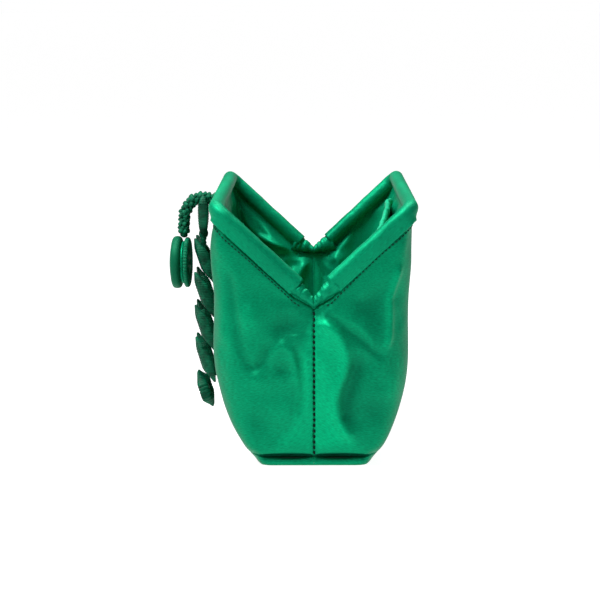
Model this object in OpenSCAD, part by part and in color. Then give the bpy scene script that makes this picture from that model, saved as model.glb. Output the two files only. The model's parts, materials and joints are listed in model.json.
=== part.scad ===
// Satin frame sack: a soft boxed pouch hung on two swinging wire frames,
// with a braided cord, a covered button and a wrist strap of wrapped rings.
// Origin: middle of the base, on the surface it stands on. +Z is up, +Y runs
// along the length, and the decorated front faces -X.

/* [Sack] */
// Distance between the two fabric hinges, along the length
hinge_span = 212; // [170:2:260]
// Half width of the sack at its widest
belly_half = 51; // [48:1:56]
// Half width of the base
base_half = 30; // [26:1:34]
// Height of the widest place
belly_height = 60; // [54:1:66]
// Thickness of the satin with its interlining
panel_t = 1.6; // [1.2:0.1:2]
// Thickness of the lining
lining_t = 0.8; // [0.6:0.1:1]

/* [Frame] */
// Height of the line the frames swing about
hinge_height = 94; // [92:1:98]
// Length of each arm, from the swing line to the long bar
arm_len = 65; // [62:1:70]
// How far an arm lies outside the line the frames swing about
arm_offset = 4.3; // [4.2:0.1:5]
// Rise of each arm above level, with the mouth open
open_angle = 43; // [41:1:45]
// Radius of the frame wire
wire_r = 2.25; // [2:0.05:2.5]
// Radius of the fabric casing around the wire
casing_r = 4; // [3.6:0.1:4]

/* [Strap and button] */
// Length of one wrapped ring
ring_len = 25; // [23:1:26]
// Width of one wrapped ring
ring_w = 13; // [11:1:13]
// Thickness of one wrapped ring
ring_t = 5; // [4:0.5:5]
// Radius of the covered button
button_r = 14.8; // [13:0.2:15]
// Thickness of the braided cord
cord_d = 5.2; // [4.4:0.2:5.2]

/* [Hidden] */
$fn = 48;

FRONT = -1;
BACK = 1;
NEAR = -1;
FAR = 1;

satin = "mediumseagreen";
lining_green = "seagreen";
thread_green = "darkgreen";
cord_green = "forestgreen";
steel = "silver";

clear = 0.3;
snug = 0.05;
panel_gap = 0.5;
lining_gap = 1;
hinge_half = hinge_span / 2;
end_half = hinge_half + casing_r;
split_height = 80;
corner_r = 7;
casing_start = 11;
frame_start = 12.5;

// Where the long bars lie with the mouth open
bar_x = arm_len * cos(open_angle) + arm_offset * sin(open_angle);
bar_z = hinge_height + arm_len * sin(open_angle) - arm_offset * cos(open_angle);

// ---- Outline of the sack, seen along its length ----

// The side is one arc from the base up to the belly, and upright above it
base_in = belly_half - base_half;
side_r = (base_in * base_in + belly_height * belly_height) / (2 * base_in);
function side_x(z) = z >= belly_height ? belly_half
    : belly_half - side_r + sqrt(side_r * side_r - pow(belly_height - z, 2));

outline_step = 6;
outline_top = bar_z;
function outline_heights(floor_z) = concat([floor_z],
    [for (z = [outline_step : outline_step : belly_height]) if (z > floor_z + 1) z],
    [outline_top]);

// Half of the section on the back side, drawn in by inset, standing on floor_z
function half_section(inset, floor_z) = concat([[0, floor_z]],
    [for (z = outline_heights(floor_z)) [side_x(z) - inset, z]],
    [[0, outline_top]]);

module along_y(half_len) {
    rotate([90, 0, 0])
        linear_extrude(height = 2 * half_len, center = true)
            children();
}

module half_body(inset, floor_z) {
    along_y(end_half - inset)
        polygon(half_section(inset, floor_z));
}

// A wall of one thickness around half of the sack
module half_wall(inset, thickness, floor_z, floor_t) {
    difference() {
        half_body(inset, floor_z);
        translate([-0.01, 0, 0])
            half_body(inset + thickness, floor_z + floor_t);
    }
}

module on_side(side) {
    if (side == FRONT) mirror([1, 0, 0]) children();
    else children();
}

module band(z_low, z_high) {
    reach = 2 * end_half;
    intersection() {
        children();
        translate([-reach, -reach, z_low])
            cube([2 * reach, 2 * reach, z_high - z_low]);
    }
}

// Everything on the mouth's side of the casings, and round the gathers
module mouth_clearance(gap) {
    drop = arm_offset + casing_r + gap;
    translate([0, 0, hinge_height]) {
        rotate([0, -open_angle, 0])
            translate([-arm_len, -hinge_span, -drop])
                cube([3 * arm_len, 2 * hinge_span, 2 * arm_len]);
        for (end = [NEAR, FAR])
            translate([0, end * hinge_half, 0])
                rotate([90, 0, 0])
                    cylinder(r = gather_r + gap, h = 4 * casing_r, center = true);
    }
}

// ---- Sack ----

module panel(side) {
    color(satin)
        on_side(side)
            band(0, split_height)
                half_wall(0, panel_t, 0, panel_t);
}

module panel_top(side) {
    color(satin)
        on_side(side)
            difference() {
                band(split_height + clear, outline_top)
                    half_wall(0, panel_t, 0, panel_t);
                mouth_clearance(panel_gap);
            }
}

board_gap = 0.3;
board_t = 2.4;
board_in_w = 2;
board_in_l = 6;
board_low = panel_t + board_gap;
lining_inset = panel_t + 2 * clear;
lining_low = board_low + board_t + board_gap;

module lining(side) {
    color(lining_green)
        on_side(side)
            difference() {
                half_wall(lining_inset, lining_t, lining_low, lining_t);
                mouth_clearance(lining_gap);
            }
}

module base_board() {
    board_half_w = base_half - board_in_w;
    board_half_l = end_half - board_in_l;
    color("tan")
        translate([-board_half_w, -board_half_l, board_low])
            cube([2 * board_half_w, 2 * board_half_l, board_t]);
}

pocket_depth = 4.8;
pocket_x = belly_half - lining_inset - lining_t;

// An open-topped patch that stands off the lining
module pocket(y_low, y_high, z_low, z_high) {
    wall_x = pocket_x - snug;
    difference() {
        translate([wall_x - pocket_depth - lining_t, y_low, z_low])
            cube([pocket_depth + lining_t, y_high - y_low, z_high - z_low]);
        translate([wall_x - pocket_depth, y_low + lining_t, z_low + lining_t])
            cube([pocket_depth + 1, y_high - y_low - 2 * lining_t, z_high]);
    }
}

module slip_pocket() {
    color(lining_green)
        pocket(y_low = -62, y_high = 62, z_low = 62, z_high = 118);
}

module gathered_pocket() {
    color(lining_green)
        on_side(FRONT)
            pocket(y_low = -50, y_high = 40, z_low = 66, z_high = 114);
}

stitch_len = 2.4;
stitch_pitch = 3;
stitch_w = 0.5;
stitch_t = 0.3;

module side_stitching(end) {
    first = 6;
    color(thread_green)
        for (z = [first : stitch_pitch : split_height - stitch_pitch])
            translate([-stitch_w / 2, end > 0 ? end_half : -end_half - stitch_t, z])
                cube([stitch_w, stitch_t, stitch_len]);
}

// ---- Gathers: at each end, the fabric that joins the frames and lets them swing ----

// All of the gathers lie within gather_r of the line the frames swing about
gather_r = 10.6;
gather_reach = 8;
gather_low = 83.6;
gather_t = 5;
outer_rise = 0.56;
inner_rise = 1.2;

function v_point(x, z, rise) = [x, z + rise * abs(x)];

module gathers(end) {
    gather_high = gather_low + gather_t;
    color(satin)
        translate([0, end * hinge_half, 0])
            rotate([90, 0, 0])
                linear_extrude(height = 2 * casing_r, center = true)
                    polygon([v_point(-gather_reach, gather_low, outer_rise),
                        v_point(0, gather_low, outer_rise),
                        v_point(gather_reach, gather_low, outer_rise),
                        v_point(gather_reach, gather_high, inner_rise),
                        v_point(0, gather_high, inner_rise),
                        v_point(-gather_reach, gather_high, inner_rise)]);
}

// ---- Frames ----

// Local x runs out along the arm, and local z points into the mouth
module on_arm(side) {
    on_side(side)
        translate([0, 0, hinge_height])
            rotate([0, -open_angle, 0])
                children();
}

// A three-sided bar: a leg at each end and the long bar between them
module u_bar(r, start) {
    long_half = hinge_half - corner_r;
    leg_end = arm_len - corner_r;
    translate([0, 0, -arm_offset]) {
        for (end = [NEAR, FAR]) {
            translate([start, end * hinge_half, 0])
                rotate([0, 90, 0])
                    cylinder(r = r, h = leg_end - start);
            translate([leg_end, end * long_half, 0])
                rotate([0, 0, end == FAR ? 0 : -90])
                    rotate_extrude(angle = 90)
                        translate([corner_r, 0])
                            circle(r = r);
        }
        translate([arm_len, 0, 0])
            rotate([90, 0, 0])
                cylinder(r = r, h = 2 * long_half, center = true);
    }
}

module frame(side) {
    color(steel)
        on_arm(side)
            u_bar(wire_r, frame_start);
}

module casing(side) {
    color(satin)
        on_arm(side)
            difference() {
                u_bar(casing_r, casing_start);
                u_bar(wire_r + snug, casing_start - 1);
            }
}

// ---- Braided cord and button ----

// Middle line of the cord, from its anchor to the knot that holds the button
cord_route = [[-56, 0, 130.5], [-58, 0, 131.2], [-60.2, 0, 131.8], [-62.5, 0, 132.1],
    [-64.8, 0, 131.8], [-67, 0, 130.8], [-69, 0, 129.2], [-70.6, 0, 127.2],
    [-71.8, 0, 124.8], [-72.5, 0, 122.2], [-72.9, 0, 119.6], [-73, 0, 117],
    [-73.1, 0, 114.6], [-73, 0, 112.3]];
cord_sides = 10;
cord_last = len(cord_route) - 1;
cord_end = cord_route[cord_last];

function direction(i) = let (
    a = cord_route[max(i - 1, 0)],
    b = cord_route[min(i + 1, cord_last)]) (b - a) / norm(b - a);

// Points of one ring, square to the route
function cord_ring(i) = let (t = direction(i), up = [-t[2], 0, t[0]])
    [for (k = [0 : cord_sides - 1])
        cord_route[i] + cord_d / 2 * (cos(360 * k / cord_sides) * up
            + sin(360 * k / cord_sides) * [0, 1, 0])];

module braided_cord() {
    points = [for (i = [0 : cord_last]) each cord_ring(i)];
    walls = [for (i = [0 : cord_last - 1], k = [0 : cord_sides - 1])
        let (a = i * cord_sides + k, b = i * cord_sides + (k + 1) % cord_sides)
        [a, b, b + cord_sides, a + cord_sides]];
    first_cap = [for (k = [cord_sides - 1 : -1 : 0]) k];
    last_cap = [for (k = [0 : cord_sides - 1]) cord_last * cord_sides + k];
    color(cord_green)
        polyhedron(points, concat(walls, [first_cap, last_cap]));
}

// The cord's bound root, sewn to the outside of the front casing
module cord_anchor() {
    stub_len = 7.2;
    stub_angle = -130;
    stub_wall = 0.5;
    color(cord_green)
        translate([-bar_x, 0, bar_z])
            difference() {
                rotate([0, stub_angle, 0])
                    cylinder(r = cord_d / 2 + stub_wall, h = stub_len);
                rotate([90, 0, 0])
                    cylinder(r = casing_r + snug, h = 4 * casing_r, center = true);
            }
}

knot_r = 1.2;
button_turn = -4;
button_drop = 17;
shell_t = 5.2;
back_t = 1.5;
disc_r = 14.1;
disc_t = 2.6;
rim_r = 2;
disc_rim_r = 1.2;
back_in = 1.4;
shank_r = 1.4;
shank_knot_r = 1.8;
// Gap between the backing and the wrapped disc
stack_gap = 0.4;
// Where the backing's inner face lies on the button's axis, from the cord's line
back_face = 0.2;
knot_gap = 0.1;

module hang_knot() {
    color(thread_green)
        translate(cord_end - [0, 0, knot_r + knot_gap])
            sphere(r = knot_r);
}

// Local z runs along the button's axis, towards the sack
module on_button() {
    translate(cord_end - [0, 0, button_drop])
        rotate([0, 0, button_turn])
            rotate([0, 90, 0])
                children();
}

// A disc with a rounded rim
module round_disc(radius, thickness, rim) {
    rotate_extrude() {
        square([radius - rim, thickness]);
        translate([0, rim])
            square([radius, thickness - 2 * rim]);
        for (z = [rim, thickness - rim])
            translate([radius - rim, z])
                circle(r = rim);
    }
}

module button_shell() {
    color(satin)
        on_button()
            translate([0, 0, back_face - back_t - shell_t])
                round_disc(button_r, shell_t, rim_r);
}

module button_back() {
    color(lining_green)
        on_button()
            translate([0, 0, back_face - back_t])
                cylinder(r = button_r - back_in, h = back_t);
}

module button_shank() {
    color(thread_green)
        on_button()
            translate([0, 0, back_face]) {
                cylinder(r = shank_r, h = stack_gap + disc_t + 1);
                translate([0, 0, stack_gap + disc_t + shank_r])
                    sphere(r = shank_knot_r);
            }
}

module wrapped_disc() {
    color(cord_green)
        on_button()
            translate([0, 0, back_face + stack_gap])
                difference() {
                    round_disc(disc_r, disc_t, disc_rim_r);
                    translate([0, 0, -1])
                        cylinder(r = shank_r + snug, h = disc_t + 2);
                }
}

// ---- Wrist strap of wrapped rings ----

strap_x = -62;
ring_wire_r = 1.6;
ring_half_w = 4.9;
ring_top_z = 136.7;
ring_foot_z = 111.6;
link_lean = 18;
link_pitch = 18.6;
first_link_z = 97;
// Half spread of the two strands at each pair of links, and the links' turn
spread = [8.6, 12.4, 12.6, 9.6];
turn = [5, 2, -3, -8];
end_link_z = 23.2;

// A long ring of round wire, standing across the length
module strap_ring() {
    high = ring_top_z - ring_half_w;
    low = ring_foot_z + ring_half_w;
    color(cord_green)
        translate([strap_x, 0, 0]) {
            for (s = [-1, 1])
                translate([0, s * ring_half_w, low])
                    cylinder(r = ring_wire_r, h = high - low);
            translate([0, 0, high])
                ring_bend(0);
            translate([0, 0, low])
                ring_bend(180);
        }
}

module ring_bend(roll) {
    rotate([roll, 0, 0])
        rotate([90, 0, 90])
            rotate_extrude(angle = 180)
                translate([ring_half_w, 0])
                    circle(r = ring_wire_r);
}

// A loose thread loop round the foot of the strap ring, with a tongue below
module strap_tie() {
    loop_r = ring_wire_r + 1.5;
    loop_wall = 1.1;
    tongue_w = 2.4;
    tongue_t = 3.4;
    tongue_len = 13;
    color(thread_green)
        translate([strap_x, 0, ring_foot_z])
            difference() {
                union() {
                    rotate([90, 0, 0])
                        cylinder(r = loop_r + loop_wall, h = tongue_w, center = true);
                    translate([-tongue_t / 2, -tongue_w / 2, -tongue_len])
                        cube([tongue_t, tongue_w, tongue_len]);
                }
                rotate([90, 0, 0])
                    cylinder(r = loop_r, h = 2 * tongue_w, center = true);
            }
}

// A flat ring with round ends, long way up, its thickness along x
module flat_ring(length, width, hole_len, hole_w) {
    rotate([90, 0, 90])
        linear_extrude(height = ring_t, center = true)
            difference() {
                stadium(length, width);
                stadium(hole_len, hole_w);
            }
}

module stadium(length, width) {
    square([width, length - width], center = true);
    for (s = [-1, 1])
        translate([0, s * (length - width) / 2])
            circle(d = width);
}

hole_len = 15;
hole_w = 4.4;

module place_link(y, z, roll) {
    translate([strap_x, y, z])
        rotate([0, -link_lean, 0])
            rotate([roll, 0, 0])
                children();
}

module link(end, i) {
    color(cord_green)
        place_link(end * spread[i], first_link_z - i * link_pitch, -end * turn[i])
            flat_ring(ring_len, ring_w, hole_len, hole_w);
}

module end_link() {
    color(cord_green)
        place_link(0, end_link_z, 90)
            flat_ring(ring_len + 1, ring_w + 2, hole_len, hole_w);
}

// Short thread ties that bridge the gap from each link to the next
module link_ties() {
    tie_gap = link_pitch * sin(link_lean) - ring_t;
    tie_y = ring_w * 0.3;
    tie_w = 1.6;
    tie_h = 4;
    color(thread_green)
        for (end = [NEAR, FAR], i = [0 : 2])
            place_link(end * (spread[i] + spread[i + 1]) / 2,
                    first_link_z - (i + 0.5) * link_pitch, 0)
                translate([0, end * tie_y, 0])
                    cube([tie_gap, tie_w, tie_h], center = true);
}

panel(FRONT);  // front_panel
panel(BACK);  // back_panel
panel_top(FRONT);  // front_panel_top
panel_top(BACK);  // back_panel_top
lining(FRONT);  // front_lining
lining(BACK);  // back_lining
base_board();
slip_pocket();
gathered_pocket();
gathers(NEAR);  // near_gathers
gathers(FAR);  // far_gathers
side_stitching(NEAR);  // near_side_stitching
side_stitching(FAR);  // far_side_stitching
frame(FRONT);  // front_frame
casing(FRONT);  // front_casing
cord_anchor();
braided_cord();
frame(BACK);  // back_frame
casing(BACK);  // back_casing
hang_knot();
button_shell();
button_back();
button_shank();
wrapped_disc();
strap_ring();
strap_tie();
link(NEAR, 0);  // near_link_1
link(NEAR, 1);  // near_link_2
link(NEAR, 2);  // near_link_3
link(NEAR, 3);  // near_link_4
link(FAR, 0);  // far_link_1
link(FAR, 1);  // far_link_2
link(FAR, 2);  // far_link_3
link(FAR, 3);  // far_link_4
end_link();
link_ties();
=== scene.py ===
"""The visible satin sack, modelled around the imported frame. Lengths are in mm until a mesh is made."""
import json
import math

import bpy
import numpy as np
from mathutils import Matrix, Vector


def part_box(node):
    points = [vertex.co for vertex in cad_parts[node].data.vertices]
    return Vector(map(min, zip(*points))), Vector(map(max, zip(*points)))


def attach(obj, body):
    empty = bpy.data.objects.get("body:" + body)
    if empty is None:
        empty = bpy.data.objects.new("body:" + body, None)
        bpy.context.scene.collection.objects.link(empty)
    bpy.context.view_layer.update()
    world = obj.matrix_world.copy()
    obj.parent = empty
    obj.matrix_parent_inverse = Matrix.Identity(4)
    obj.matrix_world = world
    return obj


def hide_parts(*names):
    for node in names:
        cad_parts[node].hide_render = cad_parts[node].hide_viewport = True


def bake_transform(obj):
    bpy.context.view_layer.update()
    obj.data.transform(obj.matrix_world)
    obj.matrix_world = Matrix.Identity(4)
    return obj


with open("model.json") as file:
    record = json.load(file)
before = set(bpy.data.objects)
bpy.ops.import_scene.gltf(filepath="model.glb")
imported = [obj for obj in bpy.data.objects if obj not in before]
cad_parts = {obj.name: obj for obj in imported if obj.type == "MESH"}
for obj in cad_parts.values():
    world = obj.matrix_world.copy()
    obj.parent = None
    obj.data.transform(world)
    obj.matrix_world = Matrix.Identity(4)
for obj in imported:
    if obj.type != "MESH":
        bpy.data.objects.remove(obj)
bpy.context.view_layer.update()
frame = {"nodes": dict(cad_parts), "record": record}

MM = 0.001
FRONT, BACK = -1, 1
NEAR, FAR = -1, 1
SIDE_NAME = {FRONT: "front", BACK: "back"}
END_NAME = {NEAR: "near", FAR: "far"}


def box_mm(node):
    low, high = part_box(node)
    return np.array(low) / MM, np.array(high) / MM


def node_centre(node):
    low, high = box_mm(node)
    return (low + high) / 2


# ---------------------------------------------------------------- sizes, from the frame where it can

casing_low, casing_high = box_mm("front_casing")
swings = {j["name"]: j for j in frame["record"]["behaviour"]["joints"]}
HINGE_Z = swings["front_frame_swing"]["pos_m"][2] / MM
CASING_R = 4.0
HINGE_HALF = casing_high[1] - CASING_R
BAR_X = -casing_low[0] - CASING_R
BAR_Z = casing_high[2] - CASING_R
BELLY = -box_mm("front_panel")[0][0]
BASE_HALF = 30.0
BELLY_Z = 60.0
ARM_ANGLE = math.radians(43)
ARM_OFFSET = 4.3
ARM_LEN = 65.0
CORNER_R = 7.0
V_Z = HINGE_Z - ARM_OFFSET / math.cos(ARM_ANGLE)
ARM_SLOPE = math.tan(ARM_ANGLE)
SEAM_DROP = 6.0
SEAM_Z = V_Z - SEAM_DROP / math.cos(ARM_ANGLE)
SHELL_TOP = BAR_Z - SEAM_DROP
# the gathers' lower and upper edge at each end: height at the middle, and rise per mm sideways
NEAR_NOTCH = (83.6, 0.56, 88.7, 1.2)
FAR_NOTCH = (88.4, 0.08, 92.4, 0.82)
HEM_START = {FRONT: 7.0, BACK: 9.0}
# how much further out than the frame's outline the belly stands on each side
BELLY_SWELL = {FRONT: 0.034, BACK: -0.018}


# ---------------------------------------------------------------- small maths

def smooth(t):
    t = np.clip(t, 0, 1)
    return t * t * (3 - 2 * t)


def unit(v):
    v = np.asarray(v, float)
    return v / np.maximum(np.linalg.norm(v, axis=-1, keepdims=True), 1e-12)


def make_waves(seed, count, shortest, longest, stretch=(1, 1, 1)):
    """A smooth random field in space, about -1 to 1, made of sine waves."""
    rng = np.random.default_rng(seed)
    ways = unit(rng.normal(size=(count, 3))) * np.array(stretch)
    lengths = shortest * (longest / shortest) ** rng.random(count)
    phases = rng.random(count) * 2 * math.pi
    k = ways * (2 * math.pi / lengths)[:, None]

    def field(p):
        return np.sin(p @ k.T + phases).sum(-1) * math.sqrt(2 / count) * 0.6
    return field


def distance_to_line(q, points):
    """Distance from each q (.., 2) to a polyline, and how far along it the nearest place is, 0 to 1."""
    points = np.asarray(points, float)
    best = np.full(q.shape[:-1], 1e9)
    along = np.zeros(q.shape[:-1])
    lengths = np.linalg.norm(points[1:] - points[:-1], axis=1)
    total = lengths.sum()
    done = 0.0
    for a, b, length in zip(points[:-1], points[1:], lengths):
        t = np.clip(((q - a) @ (b - a)) / length ** 2, 0, 1)
        d = np.linalg.norm(q - (a + t[..., None] * (b - a)), axis=-1)
        closer = d < best
        best = np.where(closer, d, best)
        along = np.where(closer, (done + t * length) / total, along)
        done += length
    return best, along


def run_of(path):
    """How far along a path each of its points is."""
    return np.concatenate([[0], np.cumsum(np.linalg.norm(np.diff(path, axis=0), axis=1))])


def at_run(d, run, path):
    """The place on a path at the distance d along it."""
    return np.array([np.interp(d, run, path[:, k]) for k in range(3)])


def round_turn(count):
    return np.linspace(0, 2 * math.pi, count, endpoint=False)


def curve_through(points, count):
    """A smooth path through points, at even steps (Catmull-Rom)."""
    p = np.asarray(points, float)
    p = np.vstack([2 * p[0] - p[1], p, 2 * p[-1] - p[-2]])
    fine = []
    for i in range(1, len(p) - 2):
        for t in np.linspace(0, 1, 12, endpoint=False):
            a, b, c, d = p[i - 1:i + 3]
            fine.append(0.5 * (2 * b + (c - a) * t + (2 * a - 5 * b + 4 * c - d) * t ** 2
                               + (3 * b - a - 3 * c + d) * t ** 3))
    fine.append(p[-2])
    fine = np.array(fine)
    run = run_of(fine)
    steps = np.linspace(0, run[-1], count)
    return np.stack([np.interp(steps, run, fine[:, k]) for k in range(3)], 1)


# ---------------------------------------------------------------- meshes

def new_object(name, verts_mm, faces, uv=None):
    mesh = bpy.data.meshes.new(name)
    mesh.from_pydata((np.asarray(verts_mm) * MM).tolist(), [], faces)
    mesh.update()
    if uv is not None:
        layer = mesh.uv_layers.new(name="UVMap")
        corner = np.zeros(len(mesh.loops), int)
        mesh.loops.foreach_get("vertex_index", corner)
        layer.data.foreach_set("uv", np.asarray(uv, np.float32)[corner].ravel())
    mesh.polygons.foreach_set("use_smooth", [True] * len(mesh.polygons))
    obj = bpy.data.objects.new(name, mesh)
    bpy.context.scene.collection.objects.link(obj)
    return obj


def grid_faces(rows, cols, first=0, ring=False, flip=False):
    last = cols if ring else cols - 1
    faces = []
    for i in range(rows - 1):
        for j in range(last):
            k = (j + 1) % cols
            f = [first + i * cols + j, first + i * cols + k,
                 first + (i + 1) * cols + k, first + (i + 1) * cols + j]
            faces.append(f[::-1] if flip else f)
    return faces


def grid_uv(p):
    """UV in mm along the two directions of a grid of points (rows, cols, 3)."""
    u = np.zeros(p.shape[:2])
    v = np.zeros(p.shape[:2])
    u[:, 1:] = np.cumsum(np.linalg.norm(np.diff(p, axis=1), axis=2), axis=1)
    v[1:, :] = np.cumsum(np.linalg.norm(np.diff(p, axis=0), axis=2), axis=0)
    return np.stack([u, v], -1).reshape(-1, 2)


def uv_lattice(u, v):
    return np.stack(np.meshgrid(u, v, indexing="ij"), -1).reshape(-1, 2)


def sheet_object(name, p, thickness, flip=False, tone=None):
    """A grid of points (rows, cols, 3) as a thin sheet of cloth; tone is painted light and shade, how
    bright its colour is painted.
    """
    rows, cols = p.shape[:2]
    obj = new_object(name, p.reshape(-1, 3), grid_faces(rows, cols, flip=flip), grid_uv(p))
    if tone is not None:
        # the tone is stored on the points as painted light and shade, for the material to mix its
        # colours by
        layer = obj.data.attributes.new("painted_light", "FLOAT", "POINT")
        layer.data.foreach_set("value", tone.astype(np.float32).ravel())
    thicken(obj, thickness)
    return obj


def thicken(obj, thickness):
    m = obj.modifiers.new("thickness", "SOLIDIFY")
    m.thickness = thickness * MM
    m.offset = -1
    bake(obj)


def bake(obj):
    graph = bpy.context.evaluated_depsgraph_get()
    mesh = bpy.data.meshes.new_from_object(obj.evaluated_get(graph))
    obj.modifiers.clear()
    old = obj.data
    obj.data = mesh
    bpy.data.meshes.remove(old)


def tube_data(path, side_way, profile, ring=False):
    """Verts, faces, uv of a profile (rings, k, 2) swept on a path; its first axis is side_way."""
    path = np.asarray(path, float)
    n = len(path)
    if ring:
        tangent = unit(np.roll(path, -1, 0) - np.roll(path, 1, 0))
    else:
        tangent = unit(np.gradient(path, axis=0))
    a = np.broadcast_to(np.asarray(side_way, float), path.shape)
    a = unit(a - (a * tangent).sum(1, keepdims=True) * tangent)
    b = np.cross(tangent, a)
    profile = np.asarray(profile, float)
    if profile.ndim == 2:
        profile = np.broadcast_to(profile, (n,) + profile.shape)
    k = profile.shape[1]
    p = path[:, None] + profile[..., :1] * a[:, None] + profile[..., 1:] * b[:, None]
    faces = grid_faces(n, k, ring=True)
    if ring:
        faces += [[(n - 1) * k + j, (n - 1) * k + (j + 1) % k, (j + 1) % k, j] for j in range(k)]
    else:
        faces += [list(range(k))[::-1], [(n - 1) * k + j for j in range(k)]]
    run = run_of(path)
    return p.reshape(-1, 3), faces, uv_lattice(run, run_of(profile[0]))


def join_data(parts):
    verts, faces, uvs, first = [], [], [], 0
    for v, f, uv in parts:
        verts.append(v)
        uvs.append(uv)
        faces += [[first + i for i in face] for face in f]
        first += len(v)
    return np.vstack(verts), faces, np.vstack(uvs)


def circle(radius, count=16):
    t = round_turn(count)
    return radius * np.stack([np.cos(t), np.sin(t)], 1)


def stitch_data(a, b, radius, outward, count=8):
    """One stitch from a to b: a small flattened rod with rounded ends."""
    a, b = np.asarray(a, float), np.asarray(b, float)
    stations = np.array([0, 0.08, 0.25, 0.5, 0.75, 0.92, 1])
    swell = np.array([0.25, 0.75, 1, 1, 1, 0.75, 0.25])
    path = a + stations[:, None] * (b - a)
    ring = circle(radius, count) * [0.6, 1]
    return tube_data(path, outward, swell[:, None, None] * ring[None])


# ---------------------------------------------------------------- materials

def add(tree, kind, source=None, to="Vector", **settings):
    """A shader node with its settings, and its source joined to the input named by to."""
    node = tree.nodes.new("ShaderNode" + kind)
    for name, value in settings.items():
        node.inputs[name.replace("_", " ")].default_value = value
    if source is not None:
        tree.links.new(source, node.inputs[to])
    return node


def remap(tree, source, low, high, from_low=0.0, from_high=1.0):
    return add(tree, "MapRange", source, "Value", From_Min=from_low, From_Max=from_high,
               To_Min=low, To_Max=high).outputs["Result"]


def noise(tree, place, scale, detail, stretch=None):
    if stretch:
        place = add(tree, "Mapping", place, Scale=stretch).outputs["Vector"]
    return add(tree, "TexNoise", place, Scale=scale, Detail=detail).outputs["Fac"]


# where most of a noise's values lie
NOISE_LOW, NOISE_HIGH = 0.3, 0.7
# how many times a mm the satin's flecks change, along and across its threads
FLECKS = (0.45, 1.9, 1)
GRAIN_DEPTH = 0.0002
ROUGH_SPREAD = 0.05


def shader(name, colour, dark, rough, grain=0.0, grain_scale=(1, 1, 1), metal=0.0,
           aniso=0.0, spread=30.0, specular=0.5, follow="", weave=0.0):
    """A cloth or metal: two-tone colour variation, uneven roughness and a fine directional grain.

    The two tones are mixed by noise, or by painted light and shade stored on the mesh (follow) with a
    little noise; then they are a painted shade and a painted highlight."""
    m = bpy.data.materials.new(name)
    m.use_nodes = True
    tree = m.node_tree
    join = tree.links.new
    b = tree.nodes["Principled BSDF"].inputs
    b["Metallic"].default_value = metal
    b["Specular IOR Level"].default_value = specular
    b["Anisotropic"].default_value = aniso
    where = add(tree, "TexCoord").outputs
    patches = noise(tree, where["Object"], spread, 3)
    low, high = (-0.05, 0.05) if follow else (0, 1)
    share = remap(tree, patches, low, high, NOISE_LOW, NOISE_HIGH)
    # with follow, painted light and shade stored on the mesh mixes the dark and bright tones
    if follow:
        stored = add(tree, "Attribute")
        stored.attribute_name = follow
        both = add(tree, "Math", share, 1)
        join(stored.outputs["Fac"], both.inputs[0])
        share = both.outputs["Value"]
    mix = tree.nodes.new("ShaderNodeMix")
    mix.data_type = "RGBA"
    mix.inputs["A"].default_value = (*dark, 1)
    mix.inputs["B"].default_value = (*colour, 1)
    join(share, mix.inputs["Factor"])
    tone = mix.outputs["Result"]
    if weave > 0:
        yarn = noise(tree, where["UV"], 1.0, 2, FLECKS)
        toned = tree.nodes.new("ShaderNodeVectorMath")
        toned.operation = "SCALE"
        join(tone, toned.inputs[0])
        join(remap(tree, yarn, 1 - weave, 1 + weave, NOISE_LOW, NOISE_HIGH), toned.inputs["Scale"])
        tone = toned.outputs["Vector"]
    join(tone, b["Base Color"])
    join(remap(tree, patches, rough - ROUGH_SPREAD, rough + ROUGH_SPREAD), b["Roughness"])
    if grain > 0:
        threads = noise(tree, where["UV"], 1.0, 4, grain_scale)
        bump = add(tree, "Bump", threads, "Height", Strength=grain, Distance=GRAIN_DEPTH)
        join(bump.outputs["Normal"], b["Normal"])
    return m


SATIN = shader("outer_satin", (0.0012, 0.31, 0.142), (0.0008, 0.235, 0.11), 0.50, metal=0.45,
               grain=0.5, grain_scale=(0.35, 2.4, 1), aniso=0.4, spread=26, specular=0.06, weave=0.22)
# the body sheets' bright and dark colours are a painted highlight and a painted shade, mixed by the
# painted light stored on them
BODY_SATIN = shader("body_satin", (0.0004, 0.40, 0.175), (0.0006, 0.105, 0.052), 0.50, metal=0.5,
                    grain=0.6, grain_scale=(0.35, 2.2, 1), aniso=0.4, spread=40, specular=0.06,
                    weave=0.22, follow="painted_light")
LINING = shader("lining_satin", (0.0012, 0.36, 0.165), (0.0008, 0.23, 0.11), 0.50, metal=0.4,
                grain=0.5, grain_scale=(0.4, 2.4, 1), aniso=0.3, spread=30, specular=0.06, weave=0.22)
# a lighter copy of the lining satin for the slip pocket's rolled hem: a painted highlight along its edge
HEM_SATIN_PAINTED_HIGHLIGHT = shader("hem_satin_painted_highlight", (0.02, 0.52, 0.27), (0.01, 0.4, 0.2), 0.5, metal=0.3, specular=0.06,
                   weave=0.3)
# a lighter copy of the wrapped thread that the strap links use, for the wound disc: a painted highlight
DISC_THREAD_PAINTED_HIGHLIGHT = shader("disc_thread_painted_highlight", (0.002, 0.21, 0.1), (0.001, 0.11, 0.052), 0.5, specular=0.1,
                     grain=0.5, grain_scale=(6, 1.2, 1), spread=200)
THREAD = shader("sewing_thread", (0.0, 0.012, 0.008), (0.0, 0.006, 0.004), 0.7, specular=0.1)
ROW_THREAD = shader("topstitch_thread", (0.0, 0.05, 0.026), (0.0, 0.025, 0.014), 0.6, specular=0.1)
CORD = shader("braided_cord", (0.001, 0.16, 0.075), (0.0004, 0.05, 0.025), 0.55, specular=0.12,
              grain=0.6, grain_scale=(1.5, 8, 1), spread=400)
WOUND = shader("wrapped_thread", (0.001, 0.125, 0.06), (0.0004, 0.035, 0.017), 0.5, specular=0.12,
               grain=0.5, grain_scale=(6, 1.2, 1), aniso=0.2, spread=260)
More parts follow.
